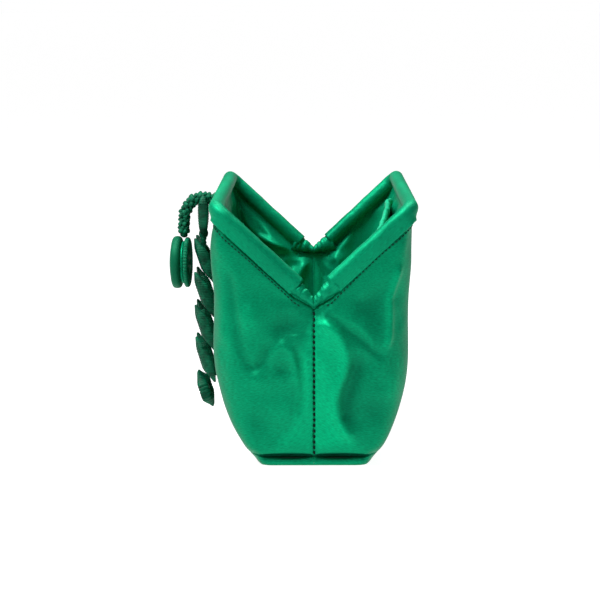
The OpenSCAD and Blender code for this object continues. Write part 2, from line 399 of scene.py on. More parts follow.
BUTTON = shader("covered_button", (0.004, 0.155, 0.072), (0.003, 0.12, 0.056), 0.55,
                specular=0.06, metal=0.25, grain=0.4, grain_scale=(0.4, 3, 1), aniso=0.2, spread=40)
BOARD = shader("stiff_board", (0.022, 0.03, 0.026), (0.014, 0.02, 0.017), 0.85, spread=300,
               specular=0.1)
STEEL = shader("frame_steel", (0.5, 0.5, 0.52), (0.42, 0.42, 0.44), 0.32, metal=1.0, spread=200)

SLOT_MATERIAL = {"outer_satin": SATIN, "lining_satin": LINING, "sewing_thread": THREAD,
                 "braided_cord": CORD, "wrapped_thread": WOUND, "covered_button": BUTTON}


def dress(obj, slot, material=None, stands_for=(), body=None):
    """Gives a piece its material, the slot's own unless one is given, hides the CAD nodes it replaces,
    and hangs it on the body it rides.
    """
    obj.data.materials.clear()
    obj.data.materials.append(material or SLOT_MATERIAL[slot])
    if stands_for:
        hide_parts(*stands_for)
    if body:
        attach(obj, body)
    return obj


def add_piece(name, data, slot, node, body, material=None):
    """One object that takes the place of one CAD node and rides one body."""
    return dress(new_object(name, *data), slot, material, (node,), body)


# ---------------------------------------------------------------- outline of the body

SIDE_IN = BELLY - BASE_HALF
SIDE_R = (SIDE_IN ** 2 + BELLY_Z ** 2) / (2 * SIDE_IN)


def side_x(z):
    low = BELLY - SIDE_R + np.sqrt(SIDE_R ** 2 - np.minimum(z - BELLY_Z, 0) ** 2)
    return low + 0.9 * smooth((z - 84) / 40)


def end_y(z):
    """Half length of the body: a narrow base strip, a puff above it, then nearly upright."""
    strip = HINGE_HALF + 0.2
    puffed = strip + 2.0 * smooth((z - 4.4) / 6) + 0.6 * smooth((z - 10) / 25)
    return np.where(z < 4.4, strip - 0.4 * smooth((1.5 - z) / 1.5), puffed)


def corner_axes(z):
    """Half axes of the rounded upright corner, across and along."""
    up = smooth((z - 8) / 30)
    top = smooth((z - 85) / 35)
    across = 8 + 10 * up - 11 * top
    along = 10 + 9 * up - 9 * top
    return across, along


def from_nearer(s):
    """How far round from the nearer end, so that both ends count from 0."""
    return np.where(s > 2.5, 5 - s, s)


def wrap(s, z, inset):
    """Place on the contour at height z, and its outward way.

    s runs 0-1 over the near end, 1-2 round its corner, 2-3 along the side, then 3-4 and 4-5 at the
    far end."""
    x_max = side_x(z) - inset
    y_max = end_y(z) - inset
    across, along = corner_axes(z)
    mirrored = s > 2.5
    t = from_nearer(s)
    turn = np.clip(t - 1, 0, 1) * math.pi / 2
    x = np.clip(t, 0, 1) * (x_max - across) + across * np.sin(turn)
    y = -(y_max - along) - along * np.cos(turn)
    on_side = t > 2
    x = np.where(on_side, x_max, x)
    y = np.where(on_side, -(y_max - along) * (1 - np.clip((t - 2) * 2, 0, 1)), y)
    nx, ny = along * np.sin(turn), -across * np.cos(turn)
    size = np.hypot(nx, ny)
    nx, ny = nx / size, ny / size
    flip = np.where(mirrored, -1.0, 1.0)
    return np.stack([x, y * flip, z], -1), np.stack([nx, ny * flip, 0 * z], -1)


def to_side(p, side):
    """Turns points made at positive x to one side, where the belly stands a little further in or out."""
    z = p[..., 2]
    swell = 1 + BELLY_SWELL[side] * smooth(z / 35) * smooth((130 - z) / 18)
    p = p.copy()
    p[..., 0] *= side * swell
    return p


def top_edge(s):
    """Height of the upper edge of the sheet: along the casing's seam."""
    t = from_nearer(s)
    z = np.full_like(s, SHELL_TOP)
    for _ in range(12):
        across, _ = corner_axes(z)
        round_corner = np.sin(np.clip(t - 1, 0, 1) * math.pi / 2)
        x = np.clip(t, 0, 1) * (side_x(z) - across) + across * round_corner
        low = np.where(s > 2.5, FAR_NOTCH[0] + FAR_NOTCH[1] * x, NEAR_NOTCH[0] + NEAR_NOTCH[1] * x)
        z = np.minimum(SHELL_TOP, np.maximum(low, SEAM_Z + ARM_SLOPE * x))
    return z


# ---------------------------------------------------------------- folds
# Each fold is (points in x and z, height outwards, half width, how it fades at its ends).
# Points are seen from the near end, and x is negative on the front.

NEAR_FOLDS = [
    # front side: a swag hung from the casing, its rim, and the hollow beside it
    ([(-43.5, 106), (-41.5, 92), (-39, 76), (-37, 63), (-34, 55), (-30, 52), (-26, 56), (-23, 63),
      (-18.5, 68.5)], -1.5, 2.6, 0.12),
    ([(-34, 92), (-32, 76), (-30.5, 64)], 2.0, 6.5, 0.5),
    ([(-47.5, 98), (-45.5, 72), (-42.5, 50)], 0.9, 4.0, 0.4),
    ([(-36, 47), (-28, 45), (-22, 47)], 0.9, 5.0, 0.5),
    ([(-23, 53), (-20.6, 60.6), (-15.9, 64.5), (-11.2, 60.6), (-8.9, 51), (-9.4, 41)], 1.3, 2.4, 0.2),
    ([(-15.6, 57), (-15.5, 47)], -1.1, 3.6, 0.4),
    ([(-9.6, 66), (-7, 56), (-5.7, 47), (-5.2, 39), (-6.5, 31), (-10, 26)], -1.3, 1.9, 0.25),
    ([(-22, 76), (-12, 74), (-7, 70)], -1.9, 6.0, 0.4),
    ([(-3.9, 66), (-3.6, 45), (-4, 22)], 1.0, 2.6, 0.3),
    ([(-26, 33), (-16, 29), (-8, 18)], 0.8, 6.0, 0.5),
    ([(-40, 30), (-28, 24), (-16, 25)], -0.9, 5.5, 0.5),
    ([(-13, 70.4), (-6, 71.2), (-1, 71)], -0.35, 0.9, 0.3),
    # back side
    ([(1.9, 80), (5, 76), (9.1, 74), (12.4, 71.5), (16.4, 63.2), (17.7, 57), (16, 48.6), (12.8, 41.6),
      (11.6, 34.6), (12.6, 26.3), (16.7, 18.6), (23, 11.7)], 2.0, 3.0, 0.12),
    ([(21, 64), (23, 55), (20, 45), (17.6, 36), (18, 27), (24, 18)], -2.2, 4.4, 0.25),
    ([(3.5, 82), (11, 77.5), (18, 72.3), (25.6, 66.7), (34, 59.7), (39.5, 56)], -1.2, 1.9, 0.2),
    ([(5, 84), (16, 80), (26, 73), (34, 66)], 0.9, 2.8, 0.3),
    ([(46.3, 108), (43.2, 99.4), (39.6, 88.3), (40.2, 77), (39.8, 69.5), (37.6, 60)], 2.3, 1.9, 0.15),
    ([(39, 102), (34, 90), (33.5, 76), (33, 64)], -1.7, 4.6, 0.4),
    ([(24, 92), (27, 84), (27, 76)], -1.6, 5.0, 0.4),
    ([(6, 82), (8, 70), (8, 60)], 1.5, 6.0, 0.4),
    ([(5, 68), (6, 48), (6, 24)], 1.2, 5.0, 0.4),
    ([(30, 40), (32, 28), (34, 20)], -1.2, 7.0, 0.5),
    ([(44, 52), (42, 42), (38, 32)], 0.9, 4.0, 0.4),
]
FAR_FOLDS = [
    ([(-40, 104), (-36, 84), (-30, 66), (-20, 58)], -1.6, 3.0, 0.2),
    ([(-30, 90), (-24, 70), (-14, 52)], 1.7, 4.5, 0.3),
    ([(-14, 80), (-9, 62), (-8, 44), (-14, 30)], -1.5, 2.6, 0.3),
    ([(4, 80), (12, 72), (18, 58), (15, 40), (12, 26)], 1.7, 3.4, 0.2),
    ([(22, 88), (26, 70), (20, 48), (24, 30)], -1.9, 4.2, 0.3),
    ([(43, 102), (38, 86), (39, 66), (35, 54)], 1.8, 2.2, 0.2),
    ([(34, 94), (31, 78), (32, 64)], -1.5, 3.6, 0.4),
    ([(-44, 60), (-38, 40), (-28, 26)], 0.8, 5.5, 0.5),
]
# On the long sides the points are (y, z)
SIDE_FOLDS = {
    FRONT: [
        ([(-92, 118), (-86, 92), (-74, 70)], -1.5, 4.0, 0.3),
        ([(-70, 122), (-62, 98), (-60, 80)], 1.2, 5.0, 0.4),
        ([(-36, 122), (-30, 104), (-22, 90)], -1.0, 4.0, 0.4),
        ([(10, 122), (6, 104), (12, 84)], 1.0, 5.5, 0.4),
        ([(46, 122), (52, 96), (64, 74)], -1.4, 4.5, 0.3),
        ([(84, 120), (80, 96), (68, 60)], 1.5, 4.5, 0.3),
        ([(-80, 44), (-40, 36), (0, 40), (50, 34), (84, 46)], 1.1, 8.0, 0.4)],
    BACK: [
        ([(-90, 118), (-82, 90), (-86, 66)], -1.6, 4.5, 0.3),
        ([(-58, 122), (-52, 100), (-40, 82)], 1.3, 4.5, 0.4),
        ([(-10, 122), (-14, 96), (-6, 78)], -1.2, 4.5, 0.4),
        ([(34, 122), (30, 100), (40, 80)], 1.2, 5.0, 0.4),
        ([(70, 122), (66, 96), (78, 72)], -1.5, 4.0, 0.3),
        ([(-70, 40), (-20, 46), (30, 38), (80, 44)], 1.2, 8.0, 0.4)],
}
# where a painted highlight lies on the full belly by the near end seam: between two curves from the foot
# up, in (x, z)
PAINTED_HIGHLIGHT_LEFT = [(-24, 8), (-12, 22), (-9, 34), (-8.5, 48), (-8, 60), (-4, 72), (-1, 82)]
PAINTED_HIGHLIGHT_RIGHT = [(26, 8), (16.7, 18.6), (12.6, 26.3), (11.6, 34.6), (13, 41.6), (16.5, 50), (17.7, 57),
               (16.4, 63.2), (12.4, 71.5), (6, 80)]
# smooth random fields: sag, small creases, and the hang of the outer sheets and of the linings
broad = make_waves(3, 26, 34, 80)
small = make_waves(5, 40, 9, 24)
hang = make_waves(8, 30, 16, 44, stretch=(1, 1, 0.25))
inner_hang = make_waves(12, 34, 13, 34, stretch=(1, 1, 0.2))


def fold_sum(q, folds):
    total = np.zeros(q.shape[:-1])
    for points, height, width, fade in folds:
        d, along = distance_to_line(q, points)
        ends = smooth(along / fade) * smooth((1 - along) / fade)
        total += height * ends * np.exp(-(d / width) ** 2)
    return total


def pleats(x, z, reach, count, phase, depth):
    """Small folds that spread from the gathers at the foot of the mouth's notch."""
    dx, dz = x, z - (V_Z - 2)
    r = np.hypot(dx, dz)
    angle = np.arctan2(dx, -dz)
    rise = smooth(r / 5) * np.exp(-(r / reach) ** 2)
    uneven = 0.6 + 0.4 * np.sin(3.1 * angle + 2 * phase)
    return depth * rise * np.sin(count * angle + phase + 0.05 * r) * uneven


def seam_pull(x, z, seed):
    """How the sheet dips into the end seam, with a pucker at each stitch."""
    stitches = (0.08 * np.sin(2 * math.pi * z / 3 + seed)
                + 0.1 * np.sin(2 * math.pi * z / 7.3 + 2 * seed))
    a = np.abs(x)
    return -0.75 * np.exp(-(a / 0.7) ** 2) + stitches * np.exp(-((a - 1.6) / 1.3) ** 2)


def base_groove(x, z):
    """The boxed seam above the base strip, which gapes in a lens on each half."""
    a = np.clip((np.abs(x) - 0.6) / 28.5, 0, 1)
    lens = np.maximum(np.sin(math.pi * a ** 0.75), 0) ** 0.55
    deep = (0.8 + 3.2 * lens) * np.exp(-((z - 5.4) / (0.5 + 0.65 * lens)) ** 4)
    return -deep - 1.2 * lens * np.exp(-((z - 4.0) / 0.9) ** 4)


def strap_hollow(side, y, z):
    """The shallow hollow in the front that the strap lies in."""
    if side == BACK:
        return 0 * y
    return 4.6 * smooth((36 - np.abs(y)) / 16) * smooth((z - 50) / 16) * smooth((123 - z) / 12)


def shell_out(side, p, s):
    """How far the outer sheet stands off the plain contour."""
    x, y, z = side * p[..., 0], p[..., 1], p[..., 2]
    t = from_nearer(s)
    near = s < 2.5
    end = 1 - smooth((t - 1.45) / 0.5)
    wall = smooth((t - 1.3) / 0.7)
    held = smooth((top_edge(s) - z) / 7) * smooth((z - 5.5) / 8)
    q = np.stack([x, z], -1)
    folds = np.where(near, fold_sum(q, NEAR_FOLDS), fold_sum(q, FAR_FOLDS))
    belly = np.exp(-((z - 66) / np.where(z > 66, 17, 30)) ** 2) * np.exp(-((x - 4) / 24) ** 2)
    out = end * held * (folds + 2.6 * belly + 0.25 * small(p * side))
    out += end * held * pleats(x, z, 26, 9, np.where(near, 0.6, 2.2), 0.5)
    out += end * (seam_pull(x, z, np.where(near, 0.3, 1.9)) * smooth((z - 3) / 2) + base_groove(x, z))
    sag = 0.6 * broad(p * side)
    drape = fold_sum(np.stack([y, z], -1), SIDE_FOLDS[side])
    drape += 0.9 * hang(p * side) * smooth((z - 62) / 40)
    out += held * (sag * (0.4 + 0.6 * wall) + wall * drape) - wall * strap_hollow(side, y, z)
    return out


def painted_light(side, p, s):
    """How bright the satin's colour is painted, as painted light and shade: a painted highlight on the
    fold crests and most on the full belly by the seam, painted shade in the hollows, to the right, at
    the top and in the base seam's groove.
    """
    x, y, z = side * p[..., 0], p[..., 1], p[..., 2]
    t = from_nearer(s)
    end = 1 - smooth((t - 1.45) / 0.5)
    q = np.stack([x, z], -1)
    folds = np.where(s < 2.5, fold_sum(q, NEAR_FOLDS), fold_sum(q, FAR_FOLDS))
    left = np.interp(z, *np.array(PAINTED_HIGHLIGHT_LEFT)[:, ::-1].T)
    right = np.interp(z, *np.array(PAINTED_HIGHLIGHT_RIGHT)[:, ::-1].T)
    # full: the painted highlight on the belly by the seam, between the two curves
    full = smooth((x - left + 2) / 6) * smooth((right - x + 3) / 6.5)
    full *= smooth((z - 5) / 12) * smooth((81 - z) / 9)
    full *= 0.55 + 0.45 * smooth((x + 1) / 2)
    full *= 0.72 + 0.34 * np.exp(-((x - 5) / 6) ** 2)
    # painted shade to the right and at the top
    shade_right = np.exp(-((x - 25) / 11) ** 2 - ((z - 38) / 22) ** 2)
    shade_top = np.exp(-((x + 12) / 20) ** 2 - ((z - 84) / 14) ** 2)
    # painted light on the fold crests and painted shade in the fold hollows, at the ends and on the
    # sides
    value = 0.27 + end * (0.1 * folds + 0.68 * full - 0.10 * shade_right - 0.07 * shade_top)
    value += (1 - end) * 0.06 * fold_sum(np.stack([y, z], -1), SIDE_FOLDS[side])
    # painted shade where the base seam's groove gapes
    value += end * 0.3 * (base_groove(x, z) + 0.8)
    return np.clip(value, -0.25, 1)


def columns(near_step, side_step, far_step):
    near = np.linspace(0, 1, int(44 / near_step))
    corner = np.linspace(1, 2, int(26 / near_step))[1:]
    along = np.linspace(2, 3, int(190 / side_step))[1:]
    corner_far = np.linspace(3, 4, int(26 / far_step))[1:]
    far = np.linspace(4, 5, int(44 / far_step))[1:]
    first = np.array([0.012, 0.03])
    return np.unique(np.concatenate([near, first, corner, along, corner_far, far, 5 - first]))


BASE_ROWS = np.array([0.3, 1.2, 2.0, 2.6, 3.1, 3.5, 4.0, 4.5, 5.0, 5.5, 6.0, 6.4, 6.8, 7.5, 8.6,
                      10.2, 12])
BASE_TURNS = (34, 28, 20, 12, 6, 2.6, 0.9)
CORNER_LIFT = 1.6
# half the gap between the two outer sheets, and between the two linings, where they meet
SEAM_GAP = 0.005
# how far inside the outline the outer sheet and the lining run
SHELL_IN = 0.4
LINING_IN = 2.7
LINING_ROWS = np.array([6.6, 7.4, 9, 12, 16])
LINING_TURNS = (34, 25.5, 18, 10, 4, 1)


def body_grid(s, count, rows_low):
    """s and z for a grid of rows by columns, from the base up to the casing's seam."""
    top = top_edge(s)
    t = np.linspace(0, 1, count)[1:, None]
    z_high = rows_low[-1] + t * (top[None] - rows_low[-1])
    z_low = np.repeat(rows_low[:, None], len(s), 1)
    z = np.vstack([z_low, z_high])
    return np.repeat(s[None], len(z), 0), z


def raised_top(s, z, everywhere, at_corners):
    """Stretches a sheet's top up behind the casing's edge, further at the frame's corners."""
    t = from_nearer(s)
    corner = smooth((t - 0.75) / 0.25) * smooth((2.35 - t) / 0.25)
    return z + (everywhere + at_corners * corner) * smooth((z - top_edge(s) + 12) / 12)


def turned_under(s, z, inset, by):
    """A row of the base, drawn in under the body by a distance."""
    p, _ = wrap(s, z, inset)
    half_w, half_l = side_x(z[0]) - inset, end_y(z[0]) - inset
    x = p[:, 0] * np.maximum(half_w - by, 0) / half_w
    y = p[:, 1] * (half_l - by) / half_l
    return np.stack([x, y, p[:, 2]], -1)


def make_shell(side):
    s = columns(1.0, 2.2, 1.6)
    ss, zz = body_grid(s, 96, BASE_ROWS)
    zz = raised_top(ss, zz, 0.3, 1.5)
    p, n = wrap(ss, zz, SHELL_IN)
    out = shell_out(side, p, ss)
    tuck = -1.5 * smooth((zz - top_edge(ss) + 1.3) / 1.3)
    p = p + n * (out + tuck)[..., None]
    under = np.array([turned_under(s, np.full_like(s, BASE_ROWS[0]), SHELL_IN, by)
                      for by in BASE_TURNS])
    p = np.vstack([under, p])
    p[..., 0] = np.maximum(p[..., 0], SEAM_GAP)
    corner = smooth((p[..., 0] - 27) / 4) * smooth((np.abs(p[..., 1]) - 84) / 20)
    p[..., 2] += CORNER_LIFT * corner * (1 - smooth((p[..., 2] - 1) / 9))
    # painted shade, a fixed dim tone, on the rows turned under the base, and painted light and shade
    # above them
    under_tone = np.full((len(BASE_TURNS), len(s)), 0.2)
    tone = np.vstack([under_tone, painted_light(side, p[len(BASE_TURNS):], ss)])
    obj = sheet_object(SIDE_NAME[side] + "_shell", to_side(p, side), 0.45, side == FRONT, tone)
    name = SIDE_NAME[side] + "_panel"
    return dress(obj, "outer_satin", BODY_SATIN, (name, name + "_top"))


def lining_out(side, p, s):
    x, y, z = side * p[..., 0], p[..., 1], p[..., 2]
    t = from_nearer(s)
    end = 1 - smooth((t - 1.2) / 0.6)
    held = smooth((top_edge(s) - z) / 9) * smooth((z - 8) / 12)
    near = s < 2.5
    loose = -1.3 - 1.9 * inner_hang(p * side) * smooth((z - 20) / 40)
    out = held * loose
    out += end * held * pleats(x, z, 42, 11, np.where(near, 1.1, 0.2), np.where(near, 1.5, 0.7))
    crest = [([(-46, 122), (-40, 108), (-33, 99), (-22, 94), (-12, 92), (-4, 90)], -3.4, 2.2, 0.15),
             ([(-40, 104), (-28, 92), (-16, 84), (-4, 80)], 2.0, 4.0, 0.2),
             ([(8, 92), (15, 84), (17, 70), (14, 56)], -3.0, 2.8, 0.25),
             ([(3, 88), (6, 74), (6, 54)], 1.8, 2.4, 0.25),
             ([(-3, 88), (-8, 76), (-17, 62)], -3.2, 3.2, 0.25),
             ([(-14, 90), (-20, 80), (-24, 70)], -2.0, 2.6, 0.3)]
    out += end * held * np.where(near, 0, 1) * fold_sum(np.stack([x, z], -1), crest)
    return np.minimum(out, 0.5) - smooth((t - 1.3) / 0.7) * strap_hollow(side, y, z)


def make_lining(side):
    s = columns(1.5, 2.4, 1.1)
    ss, zz = body_grid(s, 78, LINING_ROWS)
    zz = raised_top(ss, zz, 1.6, 1.6)
    top_in = 1.5 * smooth((zz - top_edge(ss) + 6) / 6)
    p, n = wrap(ss, zz, LINING_IN)
    p = p + n * (lining_out(side, p, ss) + top_in * 0.4)[..., None]
    under = np.array([turned_under(s, np.full_like(s, LINING_ROWS[0]), LINING_IN, by)
                      for by in LINING_TURNS])
    p = np.vstack([under, p])
    p[..., 0] = np.maximum(p[..., 0], SEAM_GAP)
    obj = sheet_object(SIDE_NAME[side] + "_liner", to_side(p, side), 0.3, flip=side == BACK)
    return dress(obj, "lining_satin", stands_for=(SIDE_NAME[side] + "_lining",))


def swing_blend(obj):
    """Bakes a piece's placing into its mesh."""
    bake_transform(obj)


# ---------------------------------------------------------------- casings

def arm_basis(side):
    c, s = math.cos(ARM_ANGLE), math.sin(ARM_ANGLE)
    out = np.array([side * c, 0, s])
    tail = np.array([side * s, 0, -c])
    hinge = np.array([0, 0, HINGE_Z])
    return hinge + ARM_OFFSET * tail, out, tail


def wire_path(side, start, step=1.0):
    """The frame wire's middle line from the near arm round the long bar, with the way its seam hangs."""
    foot, out, tail = arm_basis(side)
    bar = foot + ARM_LEN * out
    down = unit([side * 0.06, 0, -1])
    points, tails = [], []
    arm = np.arange(start, ARM_LEN - CORNER_R, step)
    for u in arm:
        points.append(foot + u * out + [0, -HINGE_HALF, 0])
        tails.append(tail)
    for a in np.linspace(0, math.pi / 2, 14):
        centre = bar - CORNER_R * out + [0, -HINGE_HALF + CORNER_R, 0]
        points.append(centre + CORNER_R * (math.sin(a) * out - math.cos(a) * np.array([0, 1, 0])))
        tails.append(unit(tail + smooth(a / (math.pi / 2)) * (down - tail)))
    half = HINGE_HALF - CORNER_R
    for y in np.linspace(-half, 0, int(half / step))[1:]:
        points.append(bar + [0, y, 0])
        tails.append(down)
    flip = np.array([1, -1, 1])
    points += [q * flip for q in points[-2::-1]]
    tails += [q * flip for q in tails[-2::-1]]
    return np.array(points), np.array(tails)


def casing_profile():
    """Cross-section of a casing: a tube, and the flat stitched edge below it.

    The first axis points down the seam."""
    r = CASING_R
    ring = [(r * math.cos(a), r * math.sin(a)) for a in np.radians(np.linspace(78, 318, 25))]
    inner = [(3.6, -1.6), (4.3, -0.3), (5.0, 0.7), (5.7, 1.35)]
    tip = [(6.25, 1.75), (6.4, 2.3), (6.2, 2.85)]
    outer = [(5.4, 3.1), (4.5, 3.25), (3.4, 3.45), (2.2, 3.7)]
    return np.array(ring + inner + tip + outer)


wrinkle = make_waves(21, 40, 5, 13)
fine_wrinkle = make_waves(22, 40, 2.2, 5)


def make_casing(side):
    path, tails = wire_path(side, HEM_START[side])
    base = casing_profile()
    rings, ways, profiles = [], [], []
    n = len(path)
    run = run_of(path)
    for i in range(n):
        p = base.copy()
        radial = unit(p)
        on_bar = smooth((min(run[i], run[-1] - run[i]) - 44) / 16)
        p[:, 1] -= 1.5 * on_bar * smooth((p[:, 0] - 1) / 5)
        near_seam = smooth((p[:, 0] - 1) / 4)
        on_arm = 1 - 0.6 * smooth((min(run[i], run[-1] - run[i]) - 46) / 8)
        world = np.concatenate([np.full((len(p), 1), run[i]), p], 1)
        puff = on_arm * (0.09 * wrinkle(world * [0.8, 1.2, 1.2]) + 0.02 * fine_wrinkle(world))
        puff += near_seam * 0.12 * np.sin(2 * math.pi * run[i] / 2.9 + 1.3 * math.sin(run[i] / 5))
        profiles.append(p + radial * puff[:, None])
        rings.append(path[i])
        ways.append(tails[i])
    # each end is a turned hem with the cloth running back inside
    def hem(index, inward):
        shape = profiles[index]
        centre = np.array([0.8, 0.3])
        steps = [(0.97, 0.0), (0.86, 0.35), (0.8, 1.2), (0.8, 4.0)]
        made = []
        for scale, depth in steps:
            made.append((path[index] + inward * depth, tails[index], centre + (shape - centre) * scale))
        return made
    first = hem(0, unit(path[1] - path[0]))[::-1]
    last = hem(n - 1, unit(path[-2] - path[-1]))
    points = [h[0] for h in first] + rings + [h[0] for h in last]
    ways = [h[1] for h in first] + ways + [h[1] for h in last]
    shapes = [h[2] for h in first] + profiles + [h[2] for h in last]
    points, ways, shapes = np.array(points), np.array(ways), np.array(shapes)
    tangent = np.zeros_like(points)
    tangent[len(first):-len(last)] = unit(np.gradient(path, axis=0))
    tangent[:len(first)] = tangent[len(first)]
    tangent[-len(last):] = tangent[-len(last) - 1]
    a = unit(ways - (ways * tangent).sum(1, keepdims=True) * tangent)
    b = np.cross(tangent, a) * (1 if side == FRONT else -1)
    p = points[:, None] + shapes[..., :1] * a[:, None] + shapes[..., 1:] * b[:, None]
    k = p.shape[1]
    faces = grid_faces(len(p), k, ring=True, flip=side == FRONT)
    along = np.concatenate([[0] * len(first), run, [run[-1]] * len(last)])
    data = p.reshape(-1, 3), faces, uv_lattice(along, run_of(base))
    name = SIDE_NAME[side]
    add_piece(name + "_casing_tube", data, "outer_satin", name + "_casing", name + "_frame_body")


# ---------------------------------------------------------------- stitches

def surface_point(side, s, z):
    """A place on the finished outer sheet, and its outward way."""
    s, z = np.atleast_1d(np.asarray(s, float)), np.atleast_1d(np.asarray(z, float))
    p, n = wrap(s, z, SHELL_IN)
    p = to_side(p + n * shell_out(side, p, s)[..., None], side)
    n = n.copy()
    n[..., 0] *= side
    return p, n


def make_topstitch(side):
    """Rows of small stitches just below the casing's seam."""
    s = np.linspace(0.2, 4.8, 1600)
    z = top_edge(s) - 2.6
    p, n = surface_point(side, s, z)
    run = run_of(p)
    parts = []
    for start in np.arange(0.5, run[-1] - 2, 2.3):
        ends = [at_run(start + d, run, p) for d in (0, 1.45)]
        way = at_run(start, run, n)
        parts.append(stitch_data(ends[0] + 0.14 * way, ends[1] + 0.14 * way, 0.36, way, count=6))
    obj = new_object(SIDE_NAME[side] + "_topstitch", *join_data(parts))
    dress(obj, "sewing_thread", ROW_THREAD)
    swing_blend(obj)


def make_end_stitches(end):
    """Dark stitches down the end seam, each set in its own pucker."""
    parts = []
    s = 0.008 if end == NEAR else 4.992
    for z in np.arange(6.3, 80.5, 2.95):
        (a, b), (na, nb) = surface_point(BACK, [s, s], [z, z + 1.8])
        a[0] = b[0] = 0.2
        parts.append(stitch_data(a + 0.4 * na, b + 0.4 * nb, 0.62, na, count=8))
    name = END_NAME[end]
    add_piece(name + "_end_stitches", join_data(parts), "sewing_thread", name + "_side_stitching",
              "sack")


def make_gusset(end):
    """A strip of satin behind each end seam, the seam allowance that shows when the mouth is closed."""
    z = np.linspace(9, 82 if end == NEAR else 89, 40)
    x = np.linspace(-9, 9, 15)
    zz, xx = np.meshgrid(z, x, indexing="ij")
    y = end * (end_y(zz) - 2.0 - 0.05 * np.abs(xx))
    p = np.stack([xx, y, zz], -1)
    obj = sheet_object(END_NAME[end] + "_seam_allowance", p, 0.35, flip=end == FAR)
    dress(obj, "outer_satin", body="sack")


# ---------------------------------------------------------------- gathers at the foot of the notch


def make_gathers(end, side):
    """Half of the gathered band that joins the two casings at one end."""
    count = 64
    x = np.linspace(0, 11.8, count)
    low_z, low_rise, high_z, high_rise = NEAR_NOTCH if end == NEAR else FAR_NOTCH
    inner = high_z + high_rise * x
    outer = low_z + low_rise * x + 0.25 * np.sin(x * 1.1)
    slope = np.arctan((low_rise + high_rise) / 2 * smooth(x / 3))
    middle = np.stack([side * x, np.full_like(x, end * (HINGE_HALF + 0.3)), (inner + outer) / 2], 1)
    half = (inner - outer) / 2 * np.cos(slope)
    up = np.stack([-side * np.sin(slope), 0 * x, np.cos(slope)], 1)
    tangent = np.stack([side * np.cos(slope), 0 * x, np.sin(slope)], 1)
    deep = np.cross(tangent, up)
    t = round_turn(28)
    rings = []
    for i in range(count):
        c, s = np.cos(t), np.sin(t)
        seed = 1.7 * side + 2.9 * end
        crimp = np.sin(2 * math.pi * x[i] / 3.3 + 1.6 * math.sin(x[i] * 0.55 + seed) + 0.9 * s)
        crimp2 = np.sin(2 * math.pi * x[i] / 1.7 + 2 * s + 1.1 * math.sin(x[i] * 0.9) + seed)
        lift = 1 + smooth((c + 0.4) / 1.4) * (0.07 * crimp + 0.03 * crimp2) + 0.02 * crimp * np.abs(s)
        depth = 3.6 - 0.6 * math.exp(-x[i] / 2)
        rings.append(middle[i] + (half[i] * c * lift)[:, None] * up[i]
                     + (depth * s * (1 + 0.09 * crimp))[:, None] * deep[i])
    p = np.array(rings)
    faces = grid_faces(count, len(t), ring=True, flip=side * end > 0)
    name = END_NAME[end] + "_gathers"
    obj = new_object(name + "_" + SIDE_NAME[side], p.reshape(-1, 3), faces, uv_lattice(x, t * 4))
    dress(obj, "outer_satin", stands_for=(name,) if side == FRONT else ())
    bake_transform(obj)


# ---------------------------------------------------------------- pockets

def make_slip_pocket():
    """A patch on the back lining whose mouth gapes towards the near end."""
    y = np.linspace(-62, 62, 80)
    t = np.linspace(0, 1, 44)
    tt, yy = np.meshgrid(t, y, indexing="ij")
    far = smooth((yy + 62) / 124)
    top = 114 + 10 * far
    z = 62 + tt * (top - 62)
    lean = (2.2 + 8.5 * (1 - far) ** 1.2) * smooth((tt - 0.25) / 0.75) * smooth((yy + 62) / 14 + 0.35)
    x = side_x(z) - 5.2 - lean * smooth((64 - yy) / 12)
    x += 0.5 * small(np.stack([x, yy, z], -1)) * tt
    p = np.stack([x, yy, z], -1)
    hem = 1.4 * smooth((tt - 0.93) / 0.05)
    p[..., 0] -= 0.3 * hem
    p = to_side(p, BACK)
    obj = sheet_object("slip_pocket_patch", p, 0.6)
    hem_data = tube_data(p[-1] + [-0.3, 0, -0.6], (0, 0, 1), circle(1.5, 12) * [1.7, 1])
    roll = new_object("slip_pocket_hem", *hem_data)
    # the hem takes the lighter satin copy, a painted highlight
    for piece, material in ((obj, LINING), (roll, HEM_SATIN_PAINTED_HIGHLIGHT)):
        dress(piece, "lining_satin", material)
        swing_blend(piece)
    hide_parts("slip_pocket")
    return obj


def make_gathered_pocket():
    """A small patch on the front lining with an elastic, ribbed mouth."""
    y = np.linspace(-50, 40, 150)
    t = np.linspace(0, 1, 50)
    tt, yy = np.meshgrid(t, y, indexing="ij")
    z = 66 + tt * (114 - 66)
    edge = smooth((yy + 50) / 8) * smooth((40 - yy) / 8)
    bulge = 2.5 + 3.2 * np.sin(math.pi * np.clip(tt, 0, 1) ** 0.8) * edge
    ribs = 0.55 * np.sin(2 * math.pi * yy / 3.1 + 0.8 * np.sin(yy / 5)) * smooth((tt - 0.3) / 0.6) * edge
    x = side_x(z) - 4.9 - bulge - ribs - strap_hollow(FRONT, yy, z)
    p = to_side(np.stack([x, yy, z], -1), FRONT)
    obj = sheet_object("gathered_pocket_patch", p, 0.5, flip=True)
    rib = 1.3 + 0.25 * np.sin(2 * math.pi * y / 3.1 + 0.8 * np.sin(y / 5))
    hem_data = tube_data(p[-1] + [0.3, 0, 0], (0, 0, 1), circle(1, 10)[None] * rib[:, None, None])
    roll = new_object("gathered_pocket_hem", *hem_data)
    for piece in (obj, roll):
        dress(piece, "lining_satin")
        swing_blend(piece)
    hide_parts("gathered_pocket")
    return obj


# ---------------------------------------------------------------- cord and button

